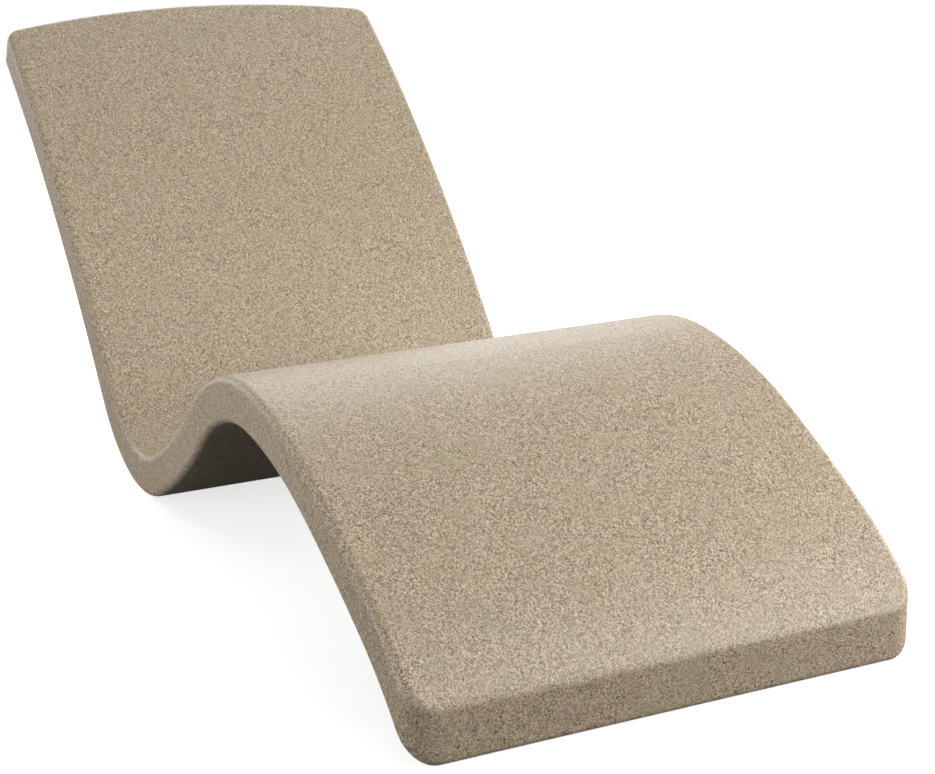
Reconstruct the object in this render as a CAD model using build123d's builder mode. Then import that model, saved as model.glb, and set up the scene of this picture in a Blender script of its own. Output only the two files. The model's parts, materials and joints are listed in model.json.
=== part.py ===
from build123d import *
from math import asin, cos, degrees, radians, sin, sqrt
import os

# One-piece sun lounger for a shallow pool shelf, in millimetres.
# +X runs from the head to the toe, +Z is up, and the ground is z = 0 below the middle of the box.

# Plate: a hollow moulding with one ballast chamber inside
width = 700
thickness = 64
wall = 7

# Side outline of the lying surface, from the head: radius of each round stretch and the angle it turns by
back_slope = 33.8
back_radius = 2690
back_turn_angle = 17.2
seat_radius = 188
seat_turn_angle = 76.5
thigh_radius = 964
thigh_turn_angle = 15.9
knee_radius = 340
knee_turn_angle = 46.2
shin_radius = 663
shin_turn_angle = 19.4
calf_radius = 2045
calf_turn_angle = 5.8
toe_bend_radius = 476
toe_bend_turn_angle = 16.2
ridge_radius = 26
ridge_turn_angle = 32

# Ends and edges
crown_rise = 41
head_corner_radius = 30
toe_corner_radius = 38
upper_edge_radius = 12
lower_edge_radius = 9
inner_edge_radius = 2

# Flats that the lounger stands on, along X
seat_flat_length = 50
toe_flat_length = 7

# Ports: setback along the underside, from the head end and from the toe face
fill_setback = 150
drain_setback = 170
recess_radius = 31
recess_depth = 9
recess_edge_radius = 2

# Insert, moulded into the wall; its thread and the plug's are a plain bore and shank here
bore_radius = 16
insert_length = 20
insert_body_radius = 20
insert_flats = 46
insert_flange = 4

# Screw plug and its flat seal
plug_clearance = 0.3
flange_radius = 28
flange_height = 5
flange_edge_radius = 1.5
engaged_length = 18
plug_lead = 1
cup_radius = 11
cup_depth = 14
grip_width = 6
notch_radius = 4
notch_count = 6
seal_height = 2
seal_width = 5.5
seal_clearance = 0.5

# Length by which cuts and blanks run past what they shape
overrun = 10

# Each stretch turns left where the surface is hollow and right, below zero, where it is crowned
back = (back_radius, -back_turn_angle)
seat = (seat_radius, seat_turn_angle)
thigh = (thigh_radius, thigh_turn_angle)
knee = (knee_radius, -knee_turn_angle)
shin = (shin_radius, -shin_turn_angle)
calf = (calf_radius, -calf_turn_angle)
toe_bend = (toe_bend_radius, -toe_bend_turn_angle)
ridge = (ridge_radius, -ridge_turn_angle)
to_calf = [back, seat, thigh, knee, shin, calf]
to_ridge = [*to_calf, toe_bend]
lying_surface = [*to_ridge, ridge]


# Side view, x along and y up: a heading is an angle from +x, and the plate's inside is below it
def along(heading):
    return Vector(cos(radians(heading)), sin(radians(heading)))


def upward(heading):
    return Vector(-sin(radians(heading)), cos(radians(heading)))


def side_of(turn):
    return 1 if turn > 0 else -1


def centre_of(place, heading, radius, turn):
    return place + upward(heading) * radius * side_of(turn)


def walk(head, depth, stretches):
    # place, heading, radius and turn of each stretch of the curve that lies this deep in the plate
    heading = -back_slope
    place = head - upward(heading) * depth
    steps = []
    for surface_radius, turn in stretches:
        radius = surface_radius + depth * side_of(turn)
        steps.append((place, heading, radius, turn))
        centre = centre_of(*steps[-1])
        heading += turn
        place = centre - upward(heading) * radius * side_of(turn)
    return steps, place, heading


def heading_at(x, centre, radius):
    # heading of a crowned arc where it passes this x
    return -degrees(asin((x - centre.X) / radius))


# The curves are walked from a head at zero first, to see where the head has to be
zero = Vector(0, 0)
toe_reach = walk(zero, 0, lying_surface)[1].X
seat_under = walk(zero, thickness, lying_surface)[0][1]
seat_under_radius = seat_under[2]
seat_sag = seat_under_radius - sqrt(seat_under_radius**2 - (seat_flat_length / 2) ** 2)
toe_sag = lower_edge_radius - sqrt(lower_edge_radius**2 - (toe_flat_length / 2) ** 2)
ground = centre_of(*seat_under).Y - seat_under_radius + seat_sag
head_edge = (along(-back_slope) + upward(-back_slope)) * lower_edge_radius
head_reach = (head_edge - upward(-back_slope) * thickness).X - lower_edge_radius
head = Vector(-(head_reach + toe_reach) / 2, -ground)
toe_x = head.X + toe_reach
length = toe_reach - head_reach
reach = 2 * length

# The underside's last stretch is the arc that brings the toe's rounded lower edge down to the ground
ridge_centre = centre_of(*walk(head, 0, lying_surface)[0][-1])
calf_end, calf_heading = walk(head, thickness, to_calf)[1:]
tip_centre = Vector(toe_x - lower_edge_radius, lower_edge_radius - toe_sag)
to_tip = tip_centre - calf_end
tip_drop = lower_edge_radius - to_tip.dot(upward(calf_heading))
toe_under_radius = (to_tip.length**2 - lower_edge_radius**2) / (2 * tip_drop)
toe_under_centre = calf_end - upward(calf_heading) * toe_under_radius


def draw_arc(place, heading, radius, turn):
    JernArc(start=place, tangent=along(heading), radius=radius, arc_size=turn)


def draw_long_side(depth, stretches, last_centre, last_radius, toe_face):
    # one long side of the outline, from past the head's bow to the toe face
    steps, last_place, last_heading = walk(head, depth, stretches)
    heading, radius, turn = steps[0][1:]
    lead = degrees(overrun / radius)
    first_place = centre_of(*steps[0]) + upward(heading + lead) * radius
    draw_arc(first_place, heading + lead, radius, turn - lead)
    for step in steps[1:]:
        draw_arc(*step)
    toe_heading = heading_at(toe_face, last_centre, last_radius)
    draw_arc(last_place, last_heading, last_radius, toe_heading - last_heading)
    return first_place, last_centre + upward(toe_heading) * last_radius


def draw_outline(inset):
    # side outline of the plate, this far inside its surface
    toe_face = toe_x - inset
    top_ends = draw_long_side(inset, to_ridge, ridge_centre, ridge_radius - inset, toe_face)
    low_ends = draw_long_side(thickness - inset, to_calf, toe_under_centre, toe_under_radius + inset, toe_face)
    for top_end, low_end in zip(top_ends, low_ends):
        Line(top_end, low_end)


# Plan of the head: a shallow bow across the width
crown_radius = ((width / 2) ** 2 + crown_rise**2) / (2 * crown_rise)


def side_plane(place, x_way, z_way):
    return Plane(origin=(place.X, 0, place.Y), x_dir=(x_way.X, 0, x_way.Y), z_dir=(z_way.X, 0, z_way.Y))


head_plane = side_plane(head, along(-back_slope), upward(-back_slope))


def rim_of(surfaces):
    # edges that belong to only one of these faces
    edges = [edge for surface in surfaces for edge in surface.edges()]
    return [edge for edge in edges if sum(edge.is_same(other) for other in edges) == 1]


def draw_plate(inset):
    # the rounded plate, this far inside its surface
    half_width = width / 2 - inset
    corner_x = crown_radius - sqrt((crown_radius - inset) ** 2 - half_width**2)
    with BuildSketch(Plane.XZ) as side:
        with BuildLine():
            draw_outline(inset)
        make_face()
    extrude(side.sketch, amount=half_width + overrun, both=True)
    with BuildSketch(head_plane) as plan:
        with BuildLine():
            ThreePointArc((corner_x, -half_width), (inset, 0), (corner_x, half_width))
            Line((corner_x, half_width), (reach, half_width))
            Line((reach, half_width), (reach, -half_width))
            Line((reach, -half_width), (corner_x, -half_width))
        make_face()
        fillet(vertices().group_by(Axis.X)[0], head_corner_radius - inset)
    extrude(plan.sketch, amount=reach, both=True, mode=Mode.INTERSECT)
    fillet(edges().filter_by(Axis.Z), toe_corner_radius - inset)
    # the lying surface and the underside are the faces as wide as the plate; the head's face lies first
    spans = faces().filter_by(lambda face: face.bounding_box().size.Y > half_width)
    upper = spans.sort_by(Axis.X)[1:].filter_by(lambda face: face.normal_at().Z > 0.1)
    fillet(rim_of(upper), max(upper_edge_radius - inset, inner_edge_radius))
    spans = faces().filter_by(lambda face: face.bounding_box().size.Y > half_width)
    lower = spans.filter_by(lambda face: face.normal_at().Z < -0.1)
    fillet(rim_of(lower), max(lower_edge_radius - inset, inner_edge_radius))


# A port's plane touches the underside and faces out of the plate
def underside_plane(centre, radius, heading):
    return side_plane(centre + upward(heading) * radius, along(heading), -upward(heading))


back_under = walk(head, thickness, lying_surface)[0][0]
back_under_radius = back_under[2]
fill_heading = -back_slope - degrees(fill_setback / back_under_radius)
fill_plane = underside_plane(centre_of(*back_under), back_under_radius, fill_heading)
toe_heading = heading_at(toe_x, toe_under_centre, toe_under_radius)
drain_heading = toe_heading + degrees(drain_setback / toe_under_radius)
drain_plane = underside_plane(toe_under_centre, toe_under_radius, drain_heading)

boss_depth = recess_depth + insert_length
insert_corner_radius = insert_flats / 2 / cos(radians(30))


def draw_disc(plane, top, bottom, radius, mode=Mode.ADD):
    # round disc on the port's axis, between two depths below the underside
    with BuildSketch(plane.offset(-bottom)) as disc:
        Circle(radius)
    extrude(disc.sketch, amount=bottom - top, mode=mode)


def draw_insert(plane, mode=Mode.ADD):
    # outside of the insert: a round body with a hexagon at each end, so that it can't turn or pull out
    draw_disc(plane, recess_depth, boss_depth, insert_body_radius, mode)
    for bottom in (recess_depth + insert_flange, boss_depth):
        with BuildSketch(plane.offset(-bottom)) as hexagon:
            RegularPolygon(insert_flats / 2, 6, major_radius=False)
        extrude(hexagon.sketch, amount=insert_flange, mode=mode)


with BuildPart() as chamber:
    draw_plate(wall)

with BuildPart() as shell:
    draw_plate(0)
    add(chamber.part, mode=Mode.SUBTRACT)
    # the flats that it stands on
    with BuildSketch(Plane.XY.offset(-overrun)):
        Rectangle(reach, width)
    extrude(amount=overrun, mode=Mode.SUBTRACT)
    # round each port the wall turns in to hold the insert
    for port in (fill_plane, drain_plane):
        draw_disc(port, wall / 2, recess_depth + wall, recess_radius + wall)
        draw_disc(port, wall / 2, boss_depth, insert_corner_radius + wall)
        draw_disc(port, -overrun, recess_depth, recess_radius, Mode.SUBTRACT)
        mouth = edges().sort_by(lambda edge: (edge.center() - port.origin).length)[0]
        fillet(mouth, recess_edge_radius)
        draw_insert(port, Mode.SUBTRACT)
shell.part.label = "shell"


def make_insert(plane, label):
    with BuildPart() as insert:
        draw_insert(plane)
        draw_disc(plane, 0, boss_depth + overrun, bore_radius, Mode.SUBTRACT)
    insert.part.label = label
    return insert.part


def make_seal(plane, label):
    inner_radius = bore_radius + seal_clearance
    with BuildPart() as seal:
        draw_disc(plane, recess_depth - seal_height, recess_depth, inner_radius + seal_width)
        draw_disc(plane, 0, boss_depth, inner_radius, Mode.SUBTRACT)
    seal.part.label = label
    return seal.part


def make_plug(plane, label):
    flange_bottom = recess_depth - seal_height
    flange_top = flange_bottom - flange_height
    tip = recess_depth + engaged_length
    port_axis = Axis(plane.origin, plane.z_dir)
    with BuildPart() as plug:
        draw_disc(plane, flange_top, flange_bottom, flange_radius)
        fillet(edges(), flange_edge_radius)
        draw_disc(plane, flange_bottom, tip, bore_radius - plug_clearance)
        chamfer(edges().filter_by(GeomType.CIRCLE).sort_by(port_axis)[0], plug_lead)
        draw_disc(plane, 0, flange_top + cup_depth, cup_radius, Mode.SUBTRACT)
        # the bar across the cup that a hand or a coin turns
        with BuildSketch(plane.offset(-flange_top - cup_depth)) as bar:
            Rectangle(2 * cup_radius, grip_width)
        extrude(bar.sketch, amount=cup_depth - flange_edge_radius)
        with BuildSketch(plane.offset(-flange_bottom)) as notches:
            with PolarLocations(flange_radius + notch_radius / 2, notch_count):
                Circle(notch_radius)
        extrude(notches.sketch, amount=flange_height, mode=Mode.SUBTRACT)
    plug.part.label = label
    return plug.part


ports = {"fill": fill_plane, "drain": drain_plane}
pieces = [shell.part]
for port_name, port in ports.items():
    pieces.append(make_insert(port, port_name + "_insert"))
    pieces.append(make_seal(port, port_name + "_seal"))
    pieces.append(make_plug(port, port_name + "_plug"))

os.makedirs("parts", exist_ok=True)
for piece in pieces:
    export_step(piece, f"parts/{piece.label}.step")

size = shell.part.bounding_box().size
print("length", round(size.X, 1), "width", round(size.Y, 1), "height", round(size.Z, 1))
print("walls", round(shell.part.volume), "chamber", round(chamber.part.volume))
for port_name, port in ports.items():
    print(port_name, "port at", port.origin, "facing", port.z_dir)
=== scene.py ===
import json
import math
import bmesh
import bpy
from mathutils import Matrix, Vector


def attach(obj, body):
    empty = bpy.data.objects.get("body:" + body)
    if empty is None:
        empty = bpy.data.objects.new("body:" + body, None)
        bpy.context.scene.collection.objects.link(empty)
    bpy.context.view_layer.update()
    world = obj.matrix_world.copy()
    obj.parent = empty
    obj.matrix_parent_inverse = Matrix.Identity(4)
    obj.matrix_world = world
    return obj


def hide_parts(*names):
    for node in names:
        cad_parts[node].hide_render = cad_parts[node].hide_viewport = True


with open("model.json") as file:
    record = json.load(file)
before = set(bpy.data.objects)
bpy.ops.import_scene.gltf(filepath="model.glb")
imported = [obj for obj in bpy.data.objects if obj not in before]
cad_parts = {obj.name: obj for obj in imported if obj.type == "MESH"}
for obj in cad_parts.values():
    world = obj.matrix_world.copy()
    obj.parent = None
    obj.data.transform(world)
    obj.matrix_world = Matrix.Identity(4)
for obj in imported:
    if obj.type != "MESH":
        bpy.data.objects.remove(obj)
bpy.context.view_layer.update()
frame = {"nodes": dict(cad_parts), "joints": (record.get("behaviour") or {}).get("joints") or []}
joints = {joint["name"]: joint for joint in frame["joints"]}


# An output socket in a shader. The operators add Math nodes, so that shader maths reads as sums.
class Wire:
    def __init__(self, tree, socket=None):
        self.tree = tree
        self.socket = socket

    # any node: its type, its settings, which are set first, and values or wires for its sockets
    def node(self, kind, settings=None, inputs=None, output=0):
        made = self.tree.nodes.new("ShaderNode" + kind)
        for name, value in (settings or {}).items():
            if name == "stops":
                fillRamp(made.color_ramp, value)
            else:
                setattr(made, name, value)
        for name, value in (inputs or {}).items():
            if isinstance(value, Wire):
                self.tree.links.new(value.socket, made.inputs[name])
            else:
                made.inputs[name].default_value = value
        return Wire(self.tree, made.outputs[output]) if made.outputs else None

    def math(self, operation, first, second):
        return self.node("Math", {"operation": operation}, {0: first, 1: second})

    def __add__(self, other):
        return self.math("ADD", self, other)

    def __radd__(self, other):
        return self.math("ADD", other, self)

    def __sub__(self, other):
        return self.math("SUBTRACT", self, other)

    def __rsub__(self, other):
        return self.math("SUBTRACT", other, self)

    def __mul__(self, other):
        return self.math("MULTIPLY", self, other)

    def __rmul__(self, other):
        return self.math("MULTIPLY", other, self)

    def __gt__(self, other):
        return self.math("GREATER_THAN", self, other)

    def __lt__(self, other):
        return self.math("LESS_THAN", self, other)

    # how far the value is above this level, times this factor
    def above(self, level, factor):
        return (self - level) * factor

    # this share, held between 0 and 1, of the second colour over the first; a Mix node has its colours
    # at inputs 6 and 7 and at output 2
    def blend(self, first, second):
        settings = {"data_type": "RGBA", "clamp_factor": True}
        return self.node("Mix", settings, {0: self, 6: first, 7: second}, 2)


def fillRamp(ramp, stops):
    while len(ramp.elements) < len(stops):
        ramp.elements.new(1.0)
    for element, (place, colour) in zip(ramp.elements, stops):
        element.position = place
        element.color = opaque(colour)


def opaque(colour):
    return (*colour, 1.0)


def startMaterial(name):
    material = bpy.data.materials.new(name)
    material.use_nodes = True
    material.node_tree.nodes.clear()
    return material, Wire(material.node_tree)


def finishMaterial(start, surfaceInputs):
    surface = start.node("BsdfPrincipled", {}, surfaceInputs)
    start.node("OutputMaterial", {}, {"Surface": surface})


# a random value from 0 to 1 for each grain of this size
def grains(start, place, size):
    colour = start.node("TexVoronoi", {}, {"Vector": place, "Scale": 1 / size}, "Color")
    return start.node("SeparateColor", {}, {"Color": colour}, "Red")


def cloud(start, place, size, detail=2.0):
    inputs = {"Vector": place, "Scale": 1 / size, "Detail": detail}
    return start.node("TexNoise", {}, inputs, "Fac")


def bump(start, height, strength, depth):
    return start.node("Bump", {}, {"Strength": strength, "Distance": depth, "Height": height})


middle = 0.5  # the mean of a cloud and of the grains


# Camera: the photograph's view, in metres and degrees, its lens and sensor in millimetres
cameraSetup = {
    "place": (2.7839, -1.1411, 1.0649),
    "azimuth": 64.99,
    "elevation": 16.82,
    "roll": -0.911,
    "lens": 76.97,
    "sensor": 36.0,
}


def addCamera():
    data = bpy.data.cameras.new("camera")
    data.lens = cameraSetup["lens"]
    data.sensor_width = cameraSetup["sensor"]
    azimuth = math.radians(cameraSetup["azimuth"])
    elevation = math.radians(cameraSetup["elevation"])
    level = math.cos(elevation)
    back = Vector((math.sin(azimuth) * level, -math.cos(azimuth) * level, math.sin(elevation)))
    right = (-back).cross(Vector((0, 0, 1))).normalized()
    up = back.cross(right)
    turned = Matrix((right, up, back)).transposed().to_4x4()
    turned = turned @ Matrix.Rotation(math.radians(cameraSetup["roll"]), 4, "Z")
    camera = bpy.data.objects.new("camera", data)
    camera.matrix_world = Matrix.Translation(cameraSetup["place"]) @ turned
    bpy.context.scene.collection.objects.link(camera)
    bpy.context.scene.camera = camera


# Studio: a soft dome, a wide lamp behind the head and five smaller ones round the lounger
studioSetup = {
    "dome": 0.28,  # the sky's strength on the lounger
    "aim": (0.2, 0, 0.25),  # the place that every lamp points at
    "lamps": {  # sizes in metres, powers in watts
        "rear_lamp": {"place": (-3.0, 1.2, 1.8), "size": 2.6, "power": 44},
        "edge_lamp": {"place": (-3.4, -1.5, 1.0), "size": 1.2, "power": 15},
        "near_lamp": {"place": (0.4, -3.2, 0.6), "size": 1.3, "power": 30},
        "front_lamp": {"place": (3.0, 2.2, 1.0), "size": 1.3, "power": 42},
        "high_lamp": {"place": (2.3, 1.3, 2.4), "size": 1.0, "power": 24},
        "far_lamp": {"place": (0.6, 3.2, 1.4), "size": 1.3, "power": 50},
    },
    "floorSize": 60.0,
    "floorGap": 0.0005,  # between the floor and the lounger
    "floorSeen": (1.0, 1.0, 1.0),  # its colour to the camera
    "floorGlow": (0.72, 0.72, 0.72),  # its own light there, so that it is white to its far edge
    "floorMirrored": (0.9, 0.9, 0.9),  # its colour in reflections
    "floorBounce": (0.02, 0.018, 0.016),  # its colour to the light that it sends back up
    "floorRoughness": 0.9,
}


# 1 for a ray that the camera sends out, and 1 for one from a reflection or through glass
def raysSeen(start):
    camera = start.node("LightPath", {}, {}, "Is Camera Ray")
    glossy = start.node("LightPath", {}, {}, "Is Glossy Ray")
    through = start.node("LightPath", {}, {}, "Is Transmission Ray")
    return camera, glossy + through


def addDome():
    world = bpy.data.worlds.new("studio")
    world.use_nodes = True
    world.node_tree.nodes.clear()
    start = Wire(world.node_tree)
    camera, mirrored = raysSeen(start)
    seen = camera + mirrored
    strength = seen + (1 - seen) * studioSetup["dome"]
    dome = start.node("Background", {}, {"Color": opaque((1, 1, 1)), "Strength": strength})
    start.node("OutputWorld", {}, {"Surface": dome})
    bpy.context.scene.world = world


def addLamps():
    for name, setup in studioSetup["lamps"].items():
        data = bpy.data.lights.new(name, "AREA")
        data.shape = "DISK"
        data.size = setup["size"]
        data.energy = setup["power"]
        lamp = bpy.data.objects.new(name, data)
        lamp.location = setup["place"]
        aim = Vector(studioSetup["aim"]) - Vector(setup["place"])
        lamp.rotation_euler = aim.to_track_quat("-Z", "Y").to_euler()
        bpy.context.scene.collection.objects.link(lamp)


def addFloor():
    half = studioSetup["floorSize"] / 2
    low = -studioSetup["floorGap"]
    corners = [(-half, -half, low), (half, -half, low), (half, half, low), (-half, half, low)]
    mesh = bpy.data.meshes.new("floor")
    mesh.from_pydata(corners, [], [(0, 1, 2, 3)])
    floor = bpy.data.objects.new("floor", mesh)
    bpy.context.scene.collection.objects.link(floor)
    material, start = startMaterial("floor")
    # the camera sees a pale floor with the shadow on it, and the shell gets little light back from it
    camera, mirrored = raysSeen(start)
    colour = mirrored.blend(opaque(studioSetup["floorBounce"]), opaque(studioSetup["floorMirrored"]))
    finishMaterial(start, {
        "Base Color": camera.blend(colour, opaque(studioSetup["floorSeen"])),
        "Emission Color": camera.blend(opaque((0, 0, 0)), opaque(studioSetup["floorGlow"])),
        "Emission Strength": 1.0,
        "Roughness": studioSetup["floorRoughness"],
        "Specular IOR Level": 0.0,
    })
    mesh.materials.append(material)


# Shell: tan plastic moulded from powder, with cream, brown and near-black grains mixed in. Sizes are
# in metres, and shares are parts of 1.
shellLook = {
    "fineGrain": 0.0009,
    "coarseGrain": 0.0018,
    "coarseShare": 0.52,
    "grainTones": [
        (0.0, (0.03, 0.02, 0.011)),
        (0.22, (0.12, 0.087, 0.05)),
        (0.4, (0.345, 0.256, 0.16)),
        (0.6, (0.57, 0.442, 0.294)),
        (0.8, (0.79, 0.655, 0.472)),
        (1.0, (0.93, 0.81, 0.625)),
    ],
    # a fleck's size is the spacing of the places for flecks, share is the part of them that hold one,
    # and radius is the largest fleck's, as a part of the spacing
    "darkFlecks": {"size": 0.0095, "share": 0.35, "radius": 0.17, "tone": (0.075, 0.052, 0.034)},
    "paleFlecks": {"size": 0.0135, "share": 0.2, "radius": 0.12, "tone": (0.8, 0.72, 0.58)},
    "fleckFray": 0.18,  # how far a fleck's edge strays, as a part of the spacing
    "fleckFrayFineness": 7,  # how many times finer its ragged edge is than the spacing
    "oliveDrift": {"size": 0.05, "share": 0.3, "tone": (0.41, 0.37, 0.2)},
    "rosyDrift": {"size": 0.042, "share": 0.24, "tone": (0.47, 0.345, 0.265)},
    "driftLevel": 0.45,  # the cloud's height at which a drift begins
    "driftContrast": 4,
    "roughness": 0.5,
    "roughnessDrift": 0.16,
    "gloss": 0.85,  # specular level
    "pebbleSize": 0.004,
    "pebbleStrength": 0.4,
    "pebbleDepth": 0.0003,
}


# 1 inside scattered ragged flecks of mixed sizes, 0 between them
def flecks(start, place, look):
    reach = start.node("TexVoronoi", {}, {"Vector": place, "Scale": 1 / look["size"]}, "Distance")
    fray = cloud(start, place, look["size"] / shellLook["fleckFrayFineness"])
    reach = reach + fray.above(middle, shellLook["fleckFray"])
    luck = grains(start, place, look["size"])
    return (reach < luck * look["radius"]) * (luck > 1 - look["share"])


# a share that swells and fades over the surface in soft wide patches
def patches(start, place, look):
    swell = cloud(start, place, look["size"])
    return swell.above(shellLook["driftLevel"], shellLook["driftContrast"]) * look["share"]


def speckledPlastic():
    look = shellLook
    material, start = startMaterial("speckled_shell")
    place = start.node("TexCoord", {}, {}, "Object")
    fine = grains(start, place, look["fineGrain"])
    coarse = grains(start, place, look["coarseGrain"])
    grain = fine * (1 - look["coarseShare"]) + coarse * look["coarseShare"]
    colour = start.node("ValToRGB", {"stops": look["grainTones"]}, {"Fac": grain})
    for drift in (look["oliveDrift"], look["rosyDrift"]):
        colour = patches(start, place, drift).blend(colour, opaque(drift["tone"]))
    for fleck in (look["darkFlecks"], look["paleFlecks"]):
        colour = flecks(start, place, fleck).blend(colour, opaque(fleck["tone"]))
    pebble = cloud(start, place, look["pebbleSize"])
    finishMaterial(start, {
        "Base Color": colour,
        "Roughness": look["roughness"] + grain.above(middle, look["roughnessDrift"]),
        "Specular IOR Level": look["gloss"],
        "Normal": bump(start, pebble, look["pebbleStrength"], look["pebbleDepth"]),
    })
    return material


# Plug: one-colour plastic, darker than the shell and a little worn
plugLook = {
    "tone": (0.3, 0.235, 0.16),
    "wornTone": (0.37, 0.3, 0.215),
    "wearSize": 0.012,
    "wearDetail": 4.0,
    "wearLevel": 0.3,
    "wearContrast": 2,
    "roughness": 0.42,
    "roughnessDrift": 0.2,
    "sandSize": 0.0012,
    "sandStrength": 0.4,
    "sandDepth": 0.0001,
}


def plainPlastic():
    look = plugLook
    material, start = startMaterial("plug_plastic")
    place = start.node("TexCoord", {}, {}, "Object")
    wear = cloud(start, place, look["wearSize"], look["wearDetail"])
    worn = wear.above(look["wearLevel"], look["wearContrast"])
    sand = cloud(start, place, look["sandSize"])
    finishMaterial(start, {
        "Base Color": worn.blend(opaque(look["tone"]), opaque(look["wornTone"])),
        "Roughness": look["roughness"] + wear.above(middle, look["roughnessDrift"]),
        "Normal": bump(start, sand, look["sandStrength"], look["sandDepth"]),
    })
    return material


# Insert: turned brass, dulled by pool water
insertLook = {
    "bright": (0.74, 0.56, 0.27),
    "dull": (0.36, 0.26, 0.13),
    "tarnishSize": 0.006,
    "tarnishDetail": 5.0,
    "tarnishLevel": 0.35,
    "tarnishContrast": 2.5,
    "roughness": 0.26,
    "roughnessLevel": 0.4,  # the tarnish at which the brass has that roughness
    "roughnessDrift": 0.4,
    "toolMarkSize": 0.0006,
    "toolMarkStrength": 0.5,
    "toolMarkDepth": 0.00005,
}


def dulledBrass():
    look = insertLook
    material, start = startMaterial("dulled_brass")
    place = start.node("TexCoord", {}, {}, "Object")
    tarnish = cloud(start, place, look["tarnishSize"], look["tarnishDetail"])
    dulled = tarnish.above(look["tarnishLevel"], look["tarnishContrast"])
    marks = cloud(start, place, look["toolMarkSize"])
    finishMaterial(start, {
        "Base Color": dulled.blend(opaque(look["bright"]), opaque(look["dull"])),
        "Metallic": 1.0,
        "Roughness": look["roughness"] + tarnish.above(look["roughnessLevel"], look["roughnessDrift"]),
        "Normal": bump(start, marks, look["toolMarkStrength"], look["toolMarkDepth"]),
    })
    return material


# Seal: black rubber with a little grey bloom
sealLook = {
    "tone": (0.022, 0.022, 0.023),
    "bloomTone": (0.075, 0.073, 0.07),
    "bloomSize": 0.007,
    "bloomDetail": 4.0,
    "bloomLevel": 0.45,
    "bloomContrast": 2,
    "roughness": 0.66,
    "roughnessDrift": 0.2,
    "skinSize": 0.0009,
    "skinStrength": 0.4,
    "skinDepth": 0.00008,
}


def blackRubber():
    look = sealLook
    material, start = startMaterial("black_rubber")
    place = start.node("TexCoord", {}, {}, "Object")
    bloom = cloud(start, place, look["bloomSize"], look["bloomDetail"])
    bloomed = bloom.above(look["bloomLevel"], look["bloomContrast"])
    skin = cloud(start, place, look["skinSize"])
    finishMaterial(start, {
        "Base Color": bloomed.blend(opaque(look["tone"]), opaque(look["bloomTone"])),
        "Roughness": look["roughness"] + bloom.above(middle, look["roughnessDrift"]),
        "Normal": bump(start, skin, look["skinStrength"], look["skinDepth"]),
    })
    return material


def dress(piece, material):
    piece.data.materials.clear()
    piece.data.materials.append(material)


# A port's own axes: z out along the screw, y across the lounger
def portMatrix(port):
    turn = joints[port + "_turn"]
    outward = Vector(turn["axis"]).normalized()
    across = Vector((0, 1, 0))
    axes = Matrix((across.cross(outward), across, outward)).transposed().to_4x4()
    return Matrix.Translation(turn["pos_m"]) @ axes


# Rings of points from one centre point to another, joined into a closed skin
def skinOf(rings):
    count = len(rings[1])
    points = [rings[0], *(point for ring in rings[1:-1] for point in ring), rings[-1]]
    last = len(points) - 1
    faces = [(0, 1 + (i + 1) % count, 1 + i) for i in range(count)]
    for row in range(len(rings) - 3):
        low = 1 + row * count
        for i in range(count):
            after = (i + 1) % count
            faces.append((low + i, low + after, low + count + after, low + count + i))
    low = last - count
    faces += [(last, low + i, low + (i + 1) % count) for i in range(count)]
    return points, faces


smoothAngle = 35  # degrees between two faces, above which the edge stays sharp


def makePiece(name, points, faces, matrix):
    mesh = bpy.data.meshes.new(name)
    mesh.from_pydata(points, [], faces)
    mesh.transform(matrix)
    mesh.validate()
    piece = bpy.data.objects.new(name, mesh)
    bpy.context.scene.collection.objects.link(piece)
    mesh.shade_smooth()
    mesh.set_sharp_from_angle(angle=math.radians(smoothAngle))
    turnFacesOut(mesh)
    return piece


def turnFacesOut(mesh):
    shape = bmesh.new()
    shape.from_mesh(mesh)
    bmesh.ops.recalc_face_normals(shape, faces=shape.faces)
    shape.to_mesh(mesh)
    shape.free()


# Screw plug: lengths in metres, depths counted inwards from the shell's lower or rear face
plugSetup = {
    "flangeTop": 0.002,
    "flangeBottom": 0.007,
    "flangeRadius": 0.028,
    "edgeRound": 0.0014,
    "roundSteps": 4,
    "notchCount": 6,
    "notchRadius": 0.004,
    "notchSetOut": 0.03,  # from the plug's axis to a notch's middle
    "tip": 0.027,
    "tipBevel": 0.001,
    "coreRadius": 0.0142,
    "crestRadius": 0.0156,  # the thread's
    "cupRadius": 0.011,
    "cupBottom": 0.016,
    "cupRound": 0.001,
    "flatEdge": 0.0004,  # width of the narrow rings at the flat face's edges
    "barHalfWidth": 0.003,
    "barTop": 0.0035,
    "barRound": 0.0012,
    "threadTop": 0.0085,
    "threadBottom": 0.0255,
    "segments": 192,  # round the axis
}

# Thread: one ridge of even rise on the plug, and one between its turns in the insert
threadSetup = {
    "pitch": 0.004,
    "baseWidth": 0.0024,
    "crestWidth": 0.0008,
    "sunk": 0.0003,  # how deep the ridge's foot is in the wall
    "runOut": 0.6,  # how many turns its ends take to fade
    "stepsPerTurn": 64,
    "boreRadius": 0.016,  # the insert's wall
    "boreCrest": 0.0146,
    "boreTop": 0.0105,
    "boreBottom": 0.0275,
}


# how far out the flange reaches at this angle, between and in its notches
def flangeReach(angle, radius):
    setup = plugSetup
    step = 2 * math.pi / setup["notchCount"]
    off = (angle + step / 2) % step - step / 2
    across = setup["notchSetOut"] * math.sin(off)
    if abs(across) >= setup["notchRadius"]:
        return radius
    inner = setup["notchSetOut"] * math.cos(off) - math.sqrt(setup["notchRadius"] ** 2 - across**2)
    return min(radius, inner)


# steps in and down along a quarter round
def quarterRound(radius):
    steps = plugSetup["roundSteps"]
    turns = [math.pi / 2 * i / steps for i in range(steps + 1)]
    return [(radius * (1 - math.sin(turn)), radius * (1 - math.cos(turn))) for turn in turns]


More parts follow.
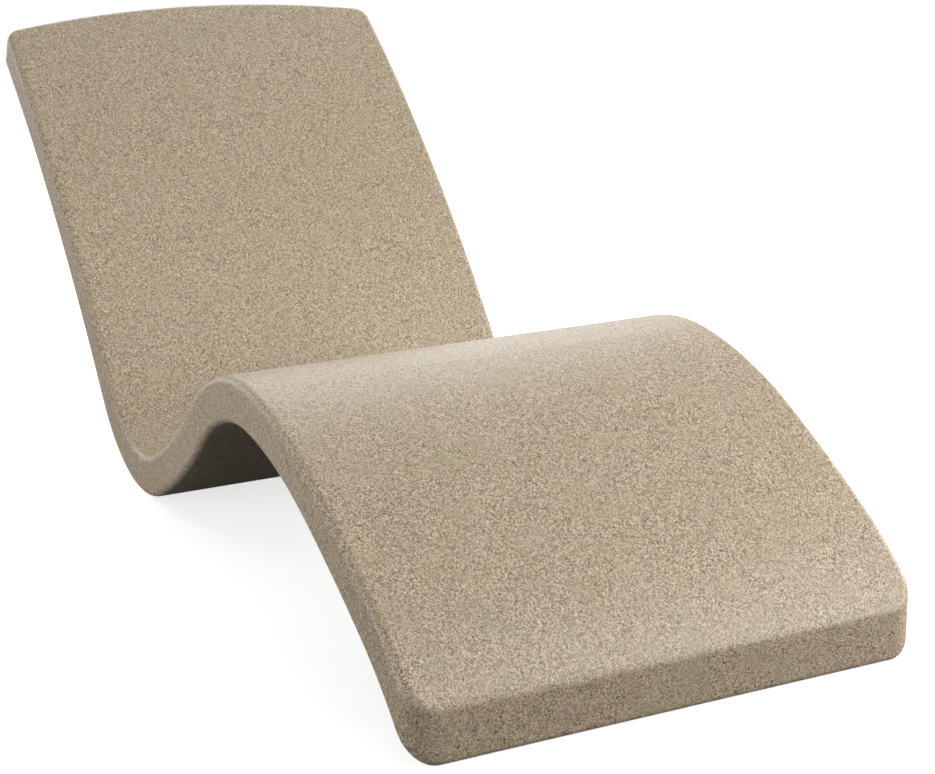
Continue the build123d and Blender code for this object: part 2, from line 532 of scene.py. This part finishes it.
def plugRings():
    setup = plugSetup
    angles = [2 * math.pi * i / setup["segments"] for i in range(setup["segments"])]

    def ring(radius, depth):
        return [(radius * math.cos(angle), radius * math.sin(angle), -depth) for angle in angles]

    def flangeRing(cutIn, depth):
        points = []
        for angle in angles:
            reach = flangeReach(angle, setup["flangeRadius"]) - cutIn
            points.append((reach * math.cos(angle), reach * math.sin(angle), -depth))
        return points

    cup, foot = setup["cupRadius"], setup["cupBottom"]
    top, low = setup["flangeTop"], setup["flangeBottom"]
    core, bevel, tip = setup["coreRadius"], setup["tipBevel"], setup["tip"]
    cupRound = quarterRound(setup["cupRound"])
    edgeRound = quarterRound(setup["edgeRound"])
    rings = [(0, 0, -foot)]
    rings += [ring(cup - inward, foot - rise) for inward, rise in cupRound]  # the cup's foot
    rings += [ring(cup + outward, top + drop) for drop, outward in cupRound]  # its mouth
    # narrow rings at both edges of the flat face keep its shading flat
    rings += [ring(cup + setup["cupRound"] + setup["flatEdge"], top)]
    rings += [flangeRing(setup["edgeRound"] + setup["flatEdge"], top)]
    rings += [flangeRing(inward, top + drop) for inward, drop in edgeRound]
    rings += [flangeRing(inward, low - rise) for inward, rise in reversed(edgeRound)]
    rings += [ring(core, low), ring(core, tip - bevel), ring(core - bevel, tip), (0, 0, -tip)]
    return rings


# a ridge of trapezoid section wound on or in a cylinder, fading out at both ends
def threadRidge(wallRadius, crestRadius, top, bottom):
    setup = threadSetup
    turns = (bottom - top) / setup["pitch"]
    steps = int(turns * setup["stepsPerTurn"])
    foot = wallRadius - math.copysign(setup["sunk"], crestRadius - wallRadius)
    base, flat = setup["baseWidth"] / 2, setup["crestWidth"] / 2
    points, faces = [], []
    for step in range(steps + 1):
        turned = turns * step / steps
        fade = min(1.0, turned / setup["runOut"], (turns - turned) / setup["runOut"])
        crest = wallRadius + (crestRadius - wallRadius) * fade
        angle = 2 * math.pi * turned
        height = -bottom + setup["pitch"] * turned
        section = ((foot, -base), (crest, -flat), (crest, flat), (foot, base))
        for radius, offset in section:
            points.append((radius * math.cos(angle), radius * math.sin(angle), height + offset))
    count = len(section)
    for low in range(0, count * steps, count):
        for i in range(count):
            after = (i + 1) % count
            faces.append((low + i, low + after, low + count + after, low + count + i))
    faces += [tuple(reversed(range(count))), tuple(range(count * steps, count * (steps + 1)))]
    return points, faces


# the bar across the cup: a rounded block, its ends in the cup's wall
def barMesh():
    setup = plugSetup
    half, top = setup["barHalfWidth"], setup["barTop"]
    bite = setup["cupRound"] / 2  # how far the bar runs into the cup's wall and floor
    reach = math.sqrt(setup["cupRadius"] ** 2 - half**2) + bite
    section = [(-half, -setup["cupBottom"] - bite)]
    section += [(-half + inward, -top - drop) for drop, inward in quarterRound(setup["barRound"])]
    section += [(-y, z) for y, z in reversed(section)]
    count = len(section)
    points = [(x, y, z) for x in (-reach, reach) for y, z in section]
    faces = [(i, (i + 1) % count, count + (i + 1) % count, count + i) for i in range(count)]
    faces += [tuple(reversed(range(count))), tuple(range(count, 2 * count))]
    return points, faces


def joinMeshes(shapes):
    points, faces = [], []
    for morePoints, moreFaces in shapes:
        first = len(points)
        points += morePoints
        faces += [tuple(first + i for i in face) for face in moreFaces]
    return points, faces


def addPort(port, plastic, brass, rubber):
    matrix = portMatrix(port)
    plug, thread = plugSetup, threadSetup
    ridge = threadRidge(plug["coreRadius"], plug["crestRadius"], plug["threadTop"], plug["threadBottom"])
    points, faces = joinMeshes([skinOf(plugRings()), barMesh(), ridge])
    screwPlug = makePiece(port + "_screw_plug", points, faces, matrix)
    dress(screwPlug, plastic)
    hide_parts(port + "_plug")
    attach(screwPlug, port + "_plug")
    # half a turn is added, so that the insert's ridge runs midway between the plug's turns
    turnsApart = (thread["boreBottom"] - plug["threadBottom"]) / thread["pitch"] + 0.5
    turned = matrix @ Matrix.Rotation(-2 * math.pi * turnsApart, 4, "Z")
    bore, crest = thread["boreRadius"], thread["boreCrest"]
    points, faces = threadRidge(bore, crest, thread["boreTop"], thread["boreBottom"])
    insertThread = makePiece(port + "_insert_thread", points, faces, turned)
    dress(insertThread, brass)
    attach(insertThread, "lounger")
    dress(frame["nodes"][port + "_insert"], brass)
    dress(frame["nodes"][port + "_seal"], rubber)
    print(port, "port fitted")


bpy.context.scene.view_settings.view_transform = "Standard"
addCamera()
addDome()
addLamps()
addFloor()
print("studio set")

dress(frame["nodes"]["shell"], speckledPlastic())
print("shell dressed")

plastic, brass, rubber = plainPlastic(), dulledBrass(), blackRubber()
for port in ("fill", "drain"):
    addPort(port, plastic, brass, rubber)
